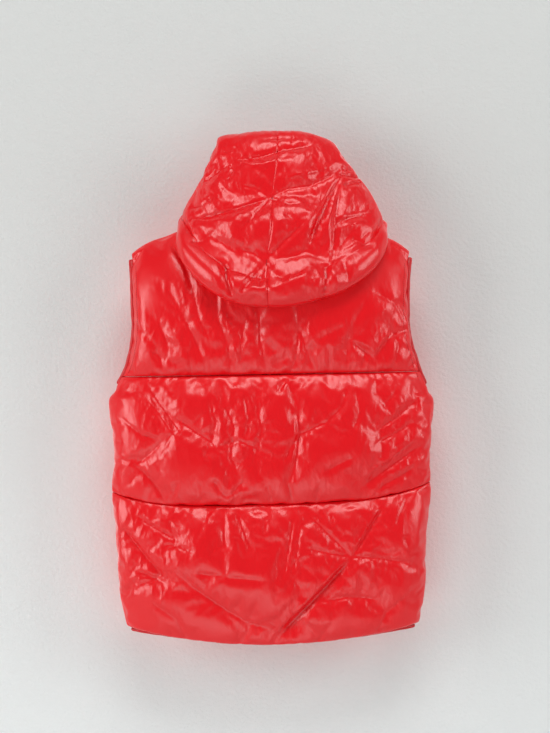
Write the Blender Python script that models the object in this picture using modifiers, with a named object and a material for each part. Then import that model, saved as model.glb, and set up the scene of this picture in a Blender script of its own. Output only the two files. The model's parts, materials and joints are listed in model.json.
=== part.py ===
"""A hooded puffer vest on a wire hanger, its back towards -Y. Lengths are millimetres until a mesh is made."""
import math

import bmesh
import bpy
from mathutils import Vector

MM = 0.001
GAP = 0.3  # between neighbouring pieces
SEAM_WALL = 2.4  # padded cloth at a stitched edge
CENTRE_X = -14.0  # the vest hangs a little to the left of the hook

# Hanger: one bent wire. The origin is the inside of the hook's top, where a nail or rail holds it.
WIRE = 3.6
HOOK_RADIUS = 19.7  # to the wire's centre
HOOK_FROM, HOOK_TO = -48, 205  # degrees round the hook, from below right to the tip
APEX_Z = -107.0  # where the two arms meet, at the wire's centre
ARM_SLOPE = math.radians(20.9)
TILT = math.radians(0.85)  # the right arm hangs lower
ARM_REACH = 190.0
BAR_DROP = 12.0  # from an arm's end to the bottom bar
BEND_RADIUS = 9.0
TWIST_TURNS = 3.5
SEAM_ABOVE_ARM = 3.9  # from the wire's centre to the shoulder seam
# The shoulder's inner face stands this far off the seam's plane, this far below it.
ROOF_HALF, ROOF_FALL = 5.6, 7.4

# Body
NECK_HALF = 85.0
NAPE_DROP, FRONT_NECK_DROP = 15.0, 74.0
NAPE_DEPTH = 26.0
NECK_OPEN = 3.0  # the shoulder seam opens this far where the wire comes out at the neck
TIP_FROM, TIP_DROP, TIP_SPAN = 190.0, 12.0, 46.0  # where a shoulder starts to round off, its fall and length
TIP_LEFT, TIP_RIGHT = CENTRE_X - 237.0, CENTRE_X + 236.0
UNDERARM_Z = -420.0
ROOF_REACH = 45.0  # how far below the shoulder seam the body gets its full depth
EDGE_ROUNDING = 2.6
BODY_HALF = 264.0
PIPING = 6.0  # bound edges
HOOD_ROWS, HOOD_COLUMNS_ACROSS = 22, 11  # faces along and across half the hood's wall
FULL_HOOD_LOFT = 16.0
EDGE_INSET = 7.6  # from the outline to a panel's bound edge
LEVEL_GAP = 0.7  # between panels at a level seam
CLEARANCE = 6.5  # between the hood and the body under it
BACK_LOFT, FRONT_LOFT = 29.0, 25.0
ZIP_HALF = 7.0  # from the zip's middle to a front's edge
CHAIN_PROUD = 1.2  # the teeth's face beyond the cloth's inner face
SLIDER_Z, SLIDER_SIZE = -220.0, (9.0, 2.2, 13.0)
# The slider's bail: its width, then half its length along the zip and its height, inside and outside.
BAIL_WIDTH, BAIL_INNER, BAIL_OUTER = 2.4, (1.7, 2.5), (2.9, 3.7)
PIN, PIN_HEIGHT = 1.4, 1.25  # the pull's pin under the bail
PULL_LENGTH, PULL_HALF, PULL_THICK = 24.0, 3.2, 1.2
ZIP_BOX_Z = -839.0

# Level seams: height in the middle, slope from left to right, rise at both sides. The hem rises off its low spot.
LEVEL_SEAMS = {1: (-399.5, 5.0, 0.0), 2: (-612.0, 8.5, 26.5)}
HEM_Z, HEM_RISE, HEM_LOW_X, HEM_REACH = -839.5, 13.0, -26.0, 178.0

# The body's outline by height, with how far the cloth's inner face stands off the hanger's plane behind and in
# front, and how far each armhole edge does.
BODY_COLUMNS = ("z", "left", "right", "back", "front", "gape")
BODY = (
    (-198, -251.0, 221.0, 20, 26, 1),
    (-237, -248.0, 217.0, 22, 21, 8),
    (-277, -246.5, 215.5, 25, 21, 13),
    (-330, -245.0, 217.0, 30, 25, 14),
    (-383, -255.0, 232.0, 33, 28, 9),
    (-420, -273.0, 247.0, 35, 30, 1),
    (-442, -280.5, 253.0, 36, 31, 0),
    (-534, -273.0, 248.0, 37, 31, 0),
    (-600, -277.0, 250.0, 36, 31, 0),
    (-660, -270.0, 243.5, 37, 31, 0),
    (-759, -262.0, 238.5, 33, 28, 0),
    (-812, -252.0, 230.0, 27, 23, 0),
    (-850, -243.0, 222.0, 22, 19, 0),
)

# The hood's wall, from the neck seam down over the yoke, round its sagging fold, up the back and over to the
# brow. Each row is an arch from the centre seam round the side to the front edge, on the wall's inner face.
HOOD_COLUMNS = (
    "at", "z_back", "z_left", "z_right", "z_front", "y_back", "y_side", "y_front", "seam_x", "left", "right",
    "reach", "loft",
)
HOOD = (
    (0.00, -149, -131, -121, -198, -34, 2, 36, -14, -99, 71, 176, 0),
    (0.10, -212, -142, -140, -193, -58, -3, 40, -15, -134, 118, 170, 5),
    (0.20, -262, -153, -157, -186, -68, -8, 48, -16, -161, 168, 163, 7),
    (0.26, -272, -152, -157, -178, -77, -14, 54, -18, -165, 173, 158, 9),
    (0.32, -254, -142, -148, -168, -85, -20, 57, -20, -162, 169, 154, 15),
    (0.42, -212, -121, -125, -148, -82, -22, 56, -20, -148, 155, 150, 0),
    (0.54, -160, -95, -102, -122, -76, -20, 48, -13, -133, 142, 146, 16),
    (0.66, -112, -70, -76, -92, -66, -17, 36, -12, -121, 124, 142, 0),
    (0.78, -56, -42, -52, -62, -50, -14, 22, -4, -109, 108, 138, 14),
    (0.88, -14, -20, -36, -46, -33, -11, 14, -3, -100, 96, 130, 9),
    (0.94, -6, -14, -31, -42, -21, -9, 10, -3, -97, 90, 118, 6),
    (1.00, -20, -24, -40, -40, -9, -6, 8, -3, -94, 88, 104, 3),
)

RED = (0.72, 0.012, 0.014)
DARK_RED = (0.45, 0.008, 0.01)
BLACK = (0.012, 0.011, 0.011)


def clearScene():
    for item in list(bpy.data.objects):
        bpy.data.objects.remove(item, do_unlink=True)


def table(columns, rows, key, name, at):
    """A column's value where the key column is at, on a smooth curve through the rows."""
    k, c = columns.index(key), columns.index(name)
    rising = rows if rows[0][k] < rows[-1][k] else rows[::-1]
    at = min(max(at, rising[0][k]), rising[-1][k])
    i = next(n for n in range(len(rising) - 1) if at <= rising[n + 1][k])
    x0, x1 = rising[i][k], rising[i + 1][k]
    y0, y1 = rising[i][c], rising[i + 1][c]
    before, after = rising[max(i - 1, 0)], rising[min(i + 2, len(rising) - 1)]
    span = x1 - x0
    slope0 = (y1 - before[c]) / (x1 - before[k]) * span
    slope1 = (after[c] - y0) / (after[k] - x0) * span
    t = (at - x0) / span
    return (
        y0 * (1 + 2 * t) * (1 - t) ** 2
        + slope0 * t * (1 - t) ** 2
        + y1 * t * t * (3 - 2 * t)
        + slope1 * t * t * (t - 1)
    )


def body(name, z):
    return table(BODY_COLUMNS, BODY, "z", name, z)


def hood(name, at):
    return table(HOOD_COLUMNS, HOOD, "at", name, at)


def armHeight(x):
    """Height of the hanger arm's wire centre."""
    return APEX_Z - abs(x) * math.tan(ARM_SLOPE + math.copysign(TILT, x))


def shoulderHeight(x):
    """Height of the shoulder seam, and between the neck points the line that joins them."""
    off = x - CENTRE_X
    if abs(off) < NECK_HALF:
        left, right = (armHeight(CENTRE_X + side * NECK_HALF) for side in (-1, 1))
        return (left + right) / 2 + (right - left) / 2 * off / NECK_HALF + SEAM_ABOVE_ARM
    past = max(abs(off) - TIP_FROM, 0) / TIP_SPAN
    return armHeight(x) + SEAM_ABOVE_ARM - TIP_DROP * past**2


def topHeight(x, drop):
    neck = max(1 - ((x - CENTRE_X) / NECK_HALF) ** 2, 0)
    return shoulderHeight(x) - drop * neck


def seamHeight(level, x):
    """Height of a level seam: 1 is under the yoke, 2 above the last panel and 3 the hem."""
    if level == 3:
        return HEM_Z + HEM_RISE * ((x - HEM_LOW_X) / HEM_REACH) ** 2
    middle, slope, rise = LEVEL_SEAMS[level]
    across = (x - CENTRE_X) / BODY_HALF
    return middle + slope * across + rise * across**4


def skinPoint(x, z, side, drop, edge):
    """Inner face of the body at x and z.

    side is -1 on the back and 1 on the front; edge is 0 in the middle and 1 at the outline.
    """
    depth = body("back" if side < 0 else "front", z)
    round_off = math.sqrt(max(1 - min(edge, 1) ** EDGE_ROUNDING, 0))
    off = abs(x - CENTRE_X) / NECK_HALF
    below = max(topHeight(x, drop) - z, 0)
    roof = min(math.sqrt(below / ROOF_REACH), 1)
    nape = math.sqrt(max(1 - off**2, 0)) * NAPE_DEPTH / depth if off < 1 else 0
    y = GAP / 2 + (depth * round_off + body("gape", z)) * max(roof, min(nape, 1))
    if z > UNDERARM_Z:
        y = max(y, GAP / 2 + ROOF_HALF * min(math.sqrt(below / ROOF_FALL), 1) * min((z - UNDERARM_Z) / 60, 1))
    y = max(y, GAP / 2 + NECK_OPEN * min(max((NECK_HALF + 22) / 10 - abs(x - CENTRE_X) / 10, 0), 1))
    return Vector((x, side * y, z))


def closedPanel(name, columns, rows, place, fill, loft, outward, material):
    """A stitched, filled panel.

    place(u, v) lays its inner face, which is thickened outwards by fill(u, v) of its loft.
    """
    mesh = bpy.data.meshes.new(name)
    grid = bmesh.new()
    bmesh.ops.create_grid(grid, x_segments=columns, y_segments=rows, size=1)
    fills = []
    for vert in grid.verts:
        u, v = (vert.co.x + 1) / 2, (vert.co.y + 1) / 2
        fills.append(fill(u, v))
        vert.co = place(u, v) * MM
    grid.normal_update()
    if sum((face.normal.dot(outward) * face.calc_area() for face in grid.faces)) < 0:
        bmesh.ops.reverse_faces(grid, faces=grid.faces)
    grid.to_mesh(mesh)
    grid.free()
    panel = bpy.data.objects.new(name, mesh)
    partCollection.objects.link(panel)
    group = panel.vertex_groups.new(name="fill")
    for index, weight in enumerate(fills):
        group.add([index], max(weight, 0), "REPLACE")
    wall = panel.modifiers.new("wall", "SOLIDIFY")
    wall.thickness = (SEAM_WALL + loft) * MM
    wall.offset = 1
    wall.vertex_group = "fill"
    wall.thickness_vertex_group = SEAM_WALL / (SEAM_WALL + loft)
    wall.use_rim = True
    mesh.materials.append(material)
    return panel


def puff(t, power=0.5):
    """0 on both stitched edges and 1 between them."""
    return math.sin(math.pi * min(max(t, 0), 1)) ** power


def ease(t, power=1.6):
    """Spreads columns so that they are closer at both ends."""
    return 0.5 + 0.5 * math.copysign(1 - (1 - abs(2 * t - 1)) ** power, t - 0.5)


def bodyPanel(name, side, spans, level, columns, rows, material):
    """One padded panel between two level seams; spans is its part of the width: whole, left or right."""
    drop = NAPE_DROP if side < 0 else FRONT_NECK_DROP
    loft = BACK_LOFT if side < 0 else FRONT_LOFT

    def place(u, v):
        across, up = ease(u), v
        if level == 1:
            up = 1 - (1 - v) ** 1.5
        x_edge = {}
        for end, hand in ((0, "left"), (1, "right")):
            x = body(hand, UNDERARM_Z)
            low = seamHeight(level, x)
            tip = TIP_RIGHT if end else TIP_LEFT
            high = topHeight(tip, drop) if level == 1 else seamHeight(level - 1, x)
            z = low + (high - low) * up
            held = EDGE_INSET * min(max((z + 442) / 10, 0), 1)
            x_edge[hand] = body(hand, z) + (held + SEAM_WALL) * (1 if hand == "left" else -1)
        ends = {
            "whole": (x_edge["left"], x_edge["right"]),
            "left": (x_edge["left"], CENTRE_X - ZIP_HALF),
            "right": (CENTRE_X + ZIP_HALF, x_edge["right"]),
        }[spans]
        x = ends[0] + (ends[1] - ends[0]) * across
        low = seamHeight(level, x) + LEVEL_GAP / 2
        if level == 3:
            low = seamHeight(3, x)
        high = topHeight(x, drop) if level == 1 else seamHeight(level - 1, x) - LEVEL_GAP / 2
        z = low + (high - low) * up
        middle = (x_edge["left"] + x_edge["right"]) / 2
        edge = abs(x - middle) / ((x_edge["right"] - x_edge["left"]) / 2)
        return skinPoint(x, z, side, drop, edge)

    def fill(u, v):
        across, up = ease(u), v
        if level == 1:
            up = 1 - (1 - v) ** 1.5
        return puff(across, 0.4) * puff(up)

    return closedPanel(name, columns, rows, place, fill, loft, Vector((0, side, 0)), material)


def panelWall(x, z, side):
    """Thickness of the upper body panel at x and z."""
    drop = NAPE_DROP if side < 0 else FRONT_NECK_DROP
    low, high = seamHeight(1, x), topHeight(x, drop)
    left, right = body("left", z) + EDGE_INSET, body("right", z) - EDGE_INSET
    across = (x - left) / (right - left)
    if side > 0 and x < CENTRE_X:
        across = (x - left) / (CENTRE_X - ZIP_HALF - left)
    elif side > 0:
        across = (right - x) / (right - CENTRE_X - ZIP_HALF)
    loft = BACK_LOFT if side < 0 else FRONT_LOFT
    return SEAM_WALL + loft * puff(across, 0.4) * puff((z - low) / (high - low))


def clearBody(point, wall):
    """The point, moved up or out until a wall this thick clears the body under it."""
    side = -1 if point.y < 0 else 1
    drop = NAPE_DROP if side < 0 else FRONT_NECK_DROP
    top = topHeight(point.x, drop)
    need_y, need_z = 0, top
    for step in range(40):
        height = top - 4 * step
        if height < point.z - 40:
            break
        reach = panelWall(point.x, height, side) + GAP + wall + CLEARANCE
        skin = abs(skinPoint(point.x, height, side, drop, abs(point.x - CENTRE_X) / 240).y)
        below, beyond = height - point.z, abs(point.y) - skin
        if abs(below) < reach:
            need_y = max(need_y, skin + math.sqrt(reach**2 - below**2))
        if abs(beyond) < reach:
            need_z = max(need_z, height + math.sqrt(reach**2 - beyond**2))
        elif beyond < 0:
            need_z = max(need_z, height + reach)
    if abs(point.y) >= need_y or point.z >= need_z:
        return point
    if need_z - point.z < need_y - abs(point.y):
        return Vector((point.x, point.y, need_z))
    return Vector((point.x, side * need_y, point.z))


def hoodPoint(hand, along, round_share):
    """Inner face of the hood's wall.

    along runs from the neck seam to the brow, and round_share from the centre seam to the front edge.
    """
    sign = -1 if hand == "left" else 1
    angle = math.radians(hood("reach", along)) * round_share
    seam_x = hood("seam_x", along)
    reach_x = abs(hood(hand, along) - seam_x)
    x = seam_x + sign * (GAP + (reach_x - GAP) * math.sin(angle))
    turn = 1 - math.cos(angle)
    y_back, y_side, y_front = (hood(name, along) for name in ("y_back", "y_side", "y_front"))
    z_back, z_side, z_front = (hood(name, along) for name in ("z_back", "z_" + hand, "z_front"))
    if turn < 1:
        point = Vector((x, y_back + (y_side - y_back) * turn, z_back + (z_side - z_back) * turn))
    else:
        point = Vector((x, y_side + (y_front - y_side) * (turn - 1), z_side + (z_front - z_side) * (turn - 1)))
    if along > 0.6:
        return point
    return clearBody(point, SEAM_WALL + hood("loft", along))


def hoodHalf(name, hand, columns, rows, material):
    def place(u, v):
        return hoodPoint(hand, v, u)

    def fill(u, v):
        return hood("loft", v) / FULL_HOOD_LOFT * puff(0.02 + 0.96 * ease(u), 0.4)

    outward = Vector((-1 if hand == "left" else 1, 0, 0))
    return closedPanel(name, columns, rows, place, fill, FULL_HOOD_LOFT, outward, material)


def rod(name, points, diameter, material, resolution=1, closed=False):
    """A round rod or piping along points, with closed ends."""
    curve = bpy.data.curves.new(name, "CURVE")
    curve.dimensions = "3D"
    curve.bevel_depth = diameter / 2 * MM
    curve.bevel_resolution = resolution
    curve.use_fill_caps = not closed
    line = curve.splines.new("POLY")
    line.points.add(len(points) - 1)
    for spot, point in zip(line.points, points):
        spot.co = (*(point * MM), 1)
    line.use_cyclic_u = closed
    rope = bpy.data.objects.new(name, curve)
    mesh = bpy.data.meshes.new_from_object(rope)
    mesh.name = name
    bpy.data.objects.remove(rope)
    bpy.data.curves.remove(curve)
    welded = bmesh.new()
    welded.from_mesh(mesh)
    bmesh.ops.remove_doubles(welded, verts=welded.verts, dist=0.00001)
    bmesh.ops.recalc_face_normals(welded, faces=welded.faces)
    welded.to_mesh(mesh)
    welded.free()
    made = bpy.data.objects.new(name, mesh)
    partCollection.objects.link(made)
    mesh.materials.append(material)
    return made


def armholePath(hand):
    """Piping round an armhole: down the back edge, under the arm and up the front edge."""
    sign = 1 if hand == "left" else -1
    tip = topHeight(TIP_LEFT if hand == "left" else TIP_RIGHT, NAPE_DROP)
    low = UNDERARM_Z - 4
    points = []
    for side in (-1, 1):
        steps = 15
        leg = []
        for step in range(steps):
            z = tip - 7 + (low + 9 - tip) * step / (steps - 1)
            y = GAP / 2 + body("gape", z) + 1.6
            narrow = min((tip - z) / 12, 1)
            leg.append(Vector((body(hand, z) + sign * PIPING / 2, side * max(y * narrow, 3.4), z)))
        points += leg if side < 0 else leg[::-1]
    return points


def hemPath():
    """Piping round the hem, from one side of the zip round the back to the other."""
    left, right = body("left", HEM_Z) + 1.4, body("right", HEM_Z) - 1.4
    middle, half = (left + right) / 2, (right - left) / 2
    first = math.asin((CENTRE_X + ZIP_HALF - middle) / half)
    last = 2 * math.pi + math.asin((CENTRE_X - ZIP_HALF - middle) / half)
    points = []
    for step in range(57):
        angle = first + (last - first) * step / 56
        x = middle + half * math.sin(angle)
        side = 1 if math.cos(angle) > 0 else -1
        depth = body("back" if side < 0 else "front", HEM_Z) + 1
        points.append(Vector((x, side * depth * abs(math.cos(angle)) ** 0.7, seamHeight(3, x) - PIPING / 2 - GAP)))
    return points


def zipStrip(name, left, right, thick, proud, material):
    """A strip of the zip up the front's middle, its face proud of the cloth's inner face."""
    rows = 22
    top, low = topHeight(CENTRE_X, FRONT_NECK_DROP) - 2, seamHeight(3, CENTRE_X) - PIPING
    mesh = bpy.data.meshes.new(name)
    strip = bmesh.new()
    bmesh.ops.create_grid(strip, x_segments=1, y_segments=rows, size=1)
    for vert in strip.verts:
        z = low + (top - low) * (vert.co.y + 1) / 2
        x = CENTRE_X + left + (right - left) * (vert.co.x + 1) / 2
        y = skinPoint(CENTRE_X, max(z, seamHeight(3, CENTRE_X)), 1, FRONT_NECK_DROP, 0).y + proud
        vert.co = Vector((x, y, z)) * MM
    strip.normal_update()
    if sum(face.normal.y for face in strip.faces) > 0:
        bmesh.ops.reverse_faces(strip, faces=strip.faces)
    strip.to_mesh(mesh)
    strip.free()
    made = bpy.data.objects.new(name, mesh)
    partCollection.objects.link(made)
    wall = made.modifiers.new("wall", "SOLIDIFY")
    wall.thickness = thick * MM
    wall.offset = 1
    mesh.materials.append(material)
    return made


def zipFace(z):
    """The face of the zip's teeth at z."""
    return skinPoint(CENTRE_X, max(z, seamHeight(3, CENTRE_X)), 1, FRONT_NECK_DROP, 0).y + CHAIN_PROUD


def profileSolid(name, outline, depth, axis, material):
    """A closed outline of (a, b) points extruded depth to each side along the axis, "x" or "y"."""
    mesh = bpy.data.meshes.new(name)
    shape = bmesh.new()
    verts = [shape.verts.new((-depth, a, b) if axis == "x" else (a, -depth, b)) for a, b in outline]
    face = shape.faces.new(verts)
    pushed = bmesh.ops.extrude_face_region(shape, geom=[face])
    moved = [item for item in pushed["geom"] if isinstance(item, bmesh.types.BMVert)]
    bmesh.ops.translate(shape, verts=moved, vec=(2 * depth, 0, 0) if axis == "x" else (0, 2 * depth, 0))
    bmesh.ops.recalc_face_normals(shape, faces=shape.faces)
    bmesh.ops.scale(shape, verts=shape.verts, vec=(MM, MM, MM))
    shape.to_mesh(mesh)
    shape.free()
    made = bpy.data.objects.new(name, mesh)
    partCollection.objects.link(made)
    mesh.materials.append(material)
    return made


def sliderFace():
    return zipFace(SLIDER_Z - SLIDER_SIZE[2] / 2) + GAP + SLIDER_SIZE[1]


def hingeSpot():
    return Vector((CENTRE_X, sliderFace() + PIN_HEIGHT, SLIDER_Z))


def zipSlider():
    """The slider's face, with the bail that the pull's pin turns under."""
    plate = box("zip_slider", SLIDER_SIZE, (CENTRE_X, sliderFace() - SLIDER_SIZE[1] / 2, SLIDER_Z), 0.8, metal)
    foot = -0.6
    (inner, under), (outer, over) = BAIL_INNER, BAIL_OUTER
    side = [(foot, outer), (under, outer), (over, inner * 0.8)]
    arch = side + [(a, -b) for a, b in side[::-1]]
    side = [(under, inner * 0.6), (under - 0.3, inner), (foot, inner)]
    arch += [(a, -b) for a, b in side[::-1]] + side
    bail = profileSolid("bail", arch, BAIL_WIDTH / 2, "x", metal)
    bail.location = Vector((CENTRE_X, sliderFace(), SLIDER_Z)) * MM
    partCollection.objects.unlink(bail)
    cutterCollection.objects.link(bail)
    bail.hide_render = True
    bail.display_type = "WIRE"
    joined = plate.modifiers.new("bail", "BOOLEAN")
    joined.operation = "UNION"
    joined.solver = "EXACT"
    joined.object = bail


def zipPull():
    """The pull, hanging from its pin, with a window round the bail."""
    window_half, window_end = 2.1, 4.6
    left, right = PULL_HALF, PULL_HALF * 0.8
    frame = [(-left, 0), (-left, -window_end - 1.5), (-right, -PULL_LENGTH + 2), (-right * 0.5, -PULL_LENGTH)]
    outline = frame + [(-x, z) for x, z in frame[::-1]]
    outline += [(window_half, 0), (window_half, -window_end), (-window_half, -window_end), (-window_half, 0)]
    pull = profileSolid("zip_pull", outline, PULL_THICK / 2, "y", metal)
    pull.location = hingeSpot() * MM
    bpy.ops.mesh.primitive_cylinder_add(vertices=16, radius=PIN / 2 * MM, depth=2 * PULL_HALF * MM)
    pin = bpy.context.object
    pin.name = pin.data.name = "pin"
    pin.rotation_euler = (0, math.pi / 2, 0)
    pin.location = hingeSpot() * MM
    for collection in list(pin.users_collection):
        collection.objects.unlink(pin)
    cutterCollection.objects.link(pin)
    pin.hide_render = True
    pin.display_type = "WIRE"
    joined = pull.modifiers.new("pin", "BOOLEAN")
    joined.operation = "UNION"
    joined.solver = "EXACT"
    joined.object = pin


def hangerPath():
    """The hanger's wire: the hook from its tip, the neck, round the frame and wound back up the neck."""
    points = []
    centre_z = WIRE / 2 - HOOK_RADIUS
    for step in range(22):
        angle = math.radians(HOOK_TO + (HOOK_FROM - HOOK_TO) * step / 21)
        points.append(Vector((HOOK_RADIUS * math.cos(angle), 0, centre_z + HOOK_RADIUS * math.sin(angle))))
    points += [Vector((7.2, 0, -38)), Vector((2.6, 0, -44)), Vector((0, 0, -52)), Vector((0, 0, -88))]
    coil = WIRE + 2 * GAP
    points += [Vector((0.6, 0, -97)), Vector((5, 0, -104.5))]
    for x in (20, 60, 110, 160, ARM_REACH - 6):
        points.append(Vector((x, 0, armHeight(x))))
    bar_z = {hand: armHeight(hand * ARM_REACH) - BAR_DROP for hand in (-1, 1)}
    for hand in (1, -1):
        end = armHeight(hand * ARM_REACH)
        turn = [
            Vector((hand * ARM_REACH, 0, end - 1)),
            Vector((hand * (ARM_REACH + 4), 0, end - 5)),
            Vector((hand * (ARM_REACH + 3), 0, end - 10)),
            Vector((hand * (ARM_REACH - 3), 0, bar_z[hand] - 1)),
            Vector((hand * (ARM_REACH - 12), 0, bar_z[hand] - 2)),
        ]
        points += turn[::hand]
        if hand > 0:
            for x, share in ((60, 2 / 3), (-60, 1 / 3)):
                points.append(Vector((x, 0, share * bar_z[1] + (1 - share) * bar_z[-1] - 2)))
    for x in (-(ARM_REACH - 6), -160, -110, -60, -20):
        points.append(Vector((x, 0, armHeight(x))))
    points.append(Vector((-9, -0.6, armHeight(-9) + 1)))
    turns = 22
    for step in range(turns + 1):
        angle = math.radians(200 + 360 * TWIST_TURNS * step / turns)
        z = -99.5 + (WIRE + 0.5) * TWIST_TURNS * step / turns
        points.append(Vector((coil * math.cos(angle), coil * math.sin(angle), z)))
    return points


def box(name, size, centre, bevel, material):
    bpy.ops.mesh.primitive_cube_add(size=1)
    made = bpy.context.object
    made.name = made.data.name = name
    for vert in made.data.vertices:
        vert.co = Vector([c * s for c, s in zip(vert.co, size)]) * MM
    made.location = Vector(centre) * MM
    for collection in list(made.users_collection):
        collection.objects.unlink(made)
    partCollection.objects.link(made)
    if bevel:
        soft = made.modifiers.new("soft", "BEVEL")
        soft.width = bevel * MM
        soft.segments = 2
    made.data.materials.append(material)
    return made


def material(name, colour, roughness, metallic=0.0):
    made = bpy.data.materials.new(name)
    made.use_nodes = True
    shader = made.node_tree.nodes["Principled BSDF"]
    shader.inputs["Base Color"].default_value = (*colour, 1)
    shader.inputs["Roughness"].default_value = roughness
    shader.inputs["Metallic"].default_value = metallic
    return made


clearScene()
partCollection = bpy.data.collections.new("hooded_puffer_vest")
cutterCollection = bpy.data.collections.new("joined_shapes")
bpy.context.scene.collection.children.link(partCollection)
bpy.context.scene.collection.children.link(cutterCollection)
shell = material("red_nylon", RED, 0.25)
trim = material("red_piping", DARK_RED, 0.5)
tape = material("zip_tape", BLACK, 0.7)
teeth = material("zip_teeth", BLACK, 0.35)
metal = material("zip_metal", (0.35, 0.35, 0.36), 0.3, 1.0)
coated = material("coated_wire", BLACK, 0.4)

for level, word, rows in ((1, "upper", 9), (2, "middle", 7), (3, "lower", 7)):
    bodyPanel("back_" + word, -1, "whole", level, 18, rows, shell)
    for hand in ("left", "right"):
        bodyPanel("front_" + hand + "_" + word, 1, hand, level, 9, rows, shell)
for hand in ("left", "right"):
    hoodHalf("hood_" + hand, hand, HOOD_COLUMNS_ACROSS, HOOD_ROWS, shell)
    rod("armhole_binding_" + hand, armholePath(hand), PIPING, trim, closed=True)
rod("hem_binding", hemPath(), PIPING, trim)
rod("hanger", hangerPath(), WIRE, coated, resolution=2)

zipStrip("zip_tape_left", -ZIP_HALF + GAP, -2.9, 0.9, 0.6, tape)
zipStrip("zip_tape_right", 2.9, ZIP_HALF - GAP, 0.9, 0.6, tape)
zipStrip("zip_chain", -2.6, 2.6, 2.4, 1.2, teeth)
zipSlider()
zipPull()
box("zip_box", (8, 3.2, 9), (CENTRE_X, zipFace(ZIP_BOX_Z + 4.5) + GAP + 1.9, ZIP_BOX_Z), 0.6, teeth)
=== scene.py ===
import json
import math

import bpy
import numpy as np
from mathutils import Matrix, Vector
from mathutils.bvhtree import BVHTree

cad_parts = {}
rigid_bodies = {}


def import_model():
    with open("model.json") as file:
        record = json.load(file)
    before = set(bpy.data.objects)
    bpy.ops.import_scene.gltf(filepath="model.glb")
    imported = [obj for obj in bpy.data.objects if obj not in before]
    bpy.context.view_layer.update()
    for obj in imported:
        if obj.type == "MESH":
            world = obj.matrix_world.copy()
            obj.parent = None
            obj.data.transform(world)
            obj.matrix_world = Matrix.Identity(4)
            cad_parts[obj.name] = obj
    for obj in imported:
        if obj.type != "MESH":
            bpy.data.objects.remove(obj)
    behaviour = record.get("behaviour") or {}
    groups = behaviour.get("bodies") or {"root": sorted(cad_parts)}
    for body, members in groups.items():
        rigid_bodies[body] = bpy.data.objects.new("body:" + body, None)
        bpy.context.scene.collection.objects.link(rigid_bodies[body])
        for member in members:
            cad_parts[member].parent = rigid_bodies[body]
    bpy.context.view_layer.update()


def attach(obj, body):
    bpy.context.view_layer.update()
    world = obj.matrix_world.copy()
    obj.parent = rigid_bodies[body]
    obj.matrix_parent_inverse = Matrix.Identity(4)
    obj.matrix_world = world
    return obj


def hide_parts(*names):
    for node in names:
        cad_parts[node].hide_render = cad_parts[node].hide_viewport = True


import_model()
mm = 0.001


# the vest's own form, in millimetres, the same as the frame's

vest = {
    "centre": -14.0,
    "neckHalf": 85.0,
    "napeDrop": 15.0,
    "frontDrop": 74.0,
    "zipHalf": 7.0,
    "seamWall": 2.4,
    "gap": 0.2,
    "tips": {"left": -237, "right": 236},
    "inward": {"left": 1, "right": -1},
    "armhole": -420,
}
hangerForm = {"apex": -107.0, "slope": math.radians(20.9), "tilt": math.radians(0.85), "seamAbove": 3.9}

bodyColumns = ("z", "left", "right", "back", "front", "gape")
bodyRows = np.array([
    (-198, -251.0, 221.0, 20, 26, 1),
    (-237, -248.0, 217.0, 22, 21, 8),
    (-277, -246.5, 215.5, 25, 21, 13),
    (-330, -245.0, 217.0, 30, 25, 14),
    (-383, -255.0, 232.0, 33, 28, 9),
    (-420, -273.0, 247.0, 35, 30, 1),
    (-442, -280.5, 253.0, 36, 31, 0),
    (-534, -273.0, 248.0, 37, 31, 0),
    (-600, -277.0, 250.0, 36, 31, 0),
    (-660, -270.0, 243.5, 37, 31, 0),
    (-759, -262.0, 238.5, 33, 28, 0),
    (-812, -252.0, 230.0, 27, 23, 0),
    (-850, -243.0, 222.0, 22, 19, 0),
], dtype=float)[::-1]

hoodColumns = (
    "at", "zBack", "zLeft", "zRight", "zFront", "yBack", "ySide", "yFront",
    "seamX", "left", "right", "reach", "loft",
)
hoodRows = np.array([
    (0.00, -149, -131, -121, -198, -34, 2, 36, -14, -99, 71, 176, 0),
    (0.10, -212, -142, -140, -193, -58, -3, 40, -15, -134, 118, 170, 5),
    (0.20, -262, -153, -157, -186, -68, -8, 48, -16, -161, 168, 163, 7),
    (0.26, -272, -152, -157, -178, -77, -14, 54, -18, -165, 173, 158, 9),
    (0.32, -254, -142, -148, -168, -85, -20, 57, -20, -162, 169, 154, 15),
    (0.42, -212, -121, -125, -148, -82, -22, 56, -20, -148, 155, 150, 0),
    (0.54, -160, -95, -102, -122, -76, -20, 48, -13, -133, 142, 146, 16),
    (0.66, -112, -70, -76, -92, -66, -17, 36, -12, -121, 124, 142, 0),
    (0.78, -56, -42, -52, -62, -50, -14, 22, -4, -109, 108, 138, 14),
    (0.88, -14, -20, -36, -46, -33, -11, 14, -3, -100, 96, 130, 9),
    (0.94, -6, -14, -31, -42, -21, -9, 10, -3, -97, 90, 118, 6),
    (1.00, -20, -24, -40, -40, -9, -6, 8, -3, -94, 88, 104, 3),
], dtype=float)


def smoothColumn(rows, column, at):
    # a smooth curve through one column of a table whose first column rises
    key, value = rows[:, 0], rows[:, column]
    at = np.clip(np.asarray(at, float), key[0], key[-1])
    i = np.clip(np.searchsorted(key, at, side="right") - 1, 0, len(key) - 2)
    before, after = np.maximum(i - 1, 0), np.minimum(i + 2, len(key) - 1)
    span = key[i + 1] - key[i]
    slopeIn = (value[i + 1] - value[before]) / (key[i + 1] - key[before]) * span
    slopeOut = (value[after] - value[i]) / (key[after] - key[i]) * span
    t = (at - key[i]) / span
    return (value[i] * (1 + 2 * t) * (1 - t) ** 2 + slopeIn * t * (1 - t) ** 2
            + value[i + 1] * t * t * (3 - 2 * t) + slopeOut * t * t * (t - 1))


def bodyAt(name, z):
    return smoothColumn(bodyRows, bodyColumns.index(name), z)


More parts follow.
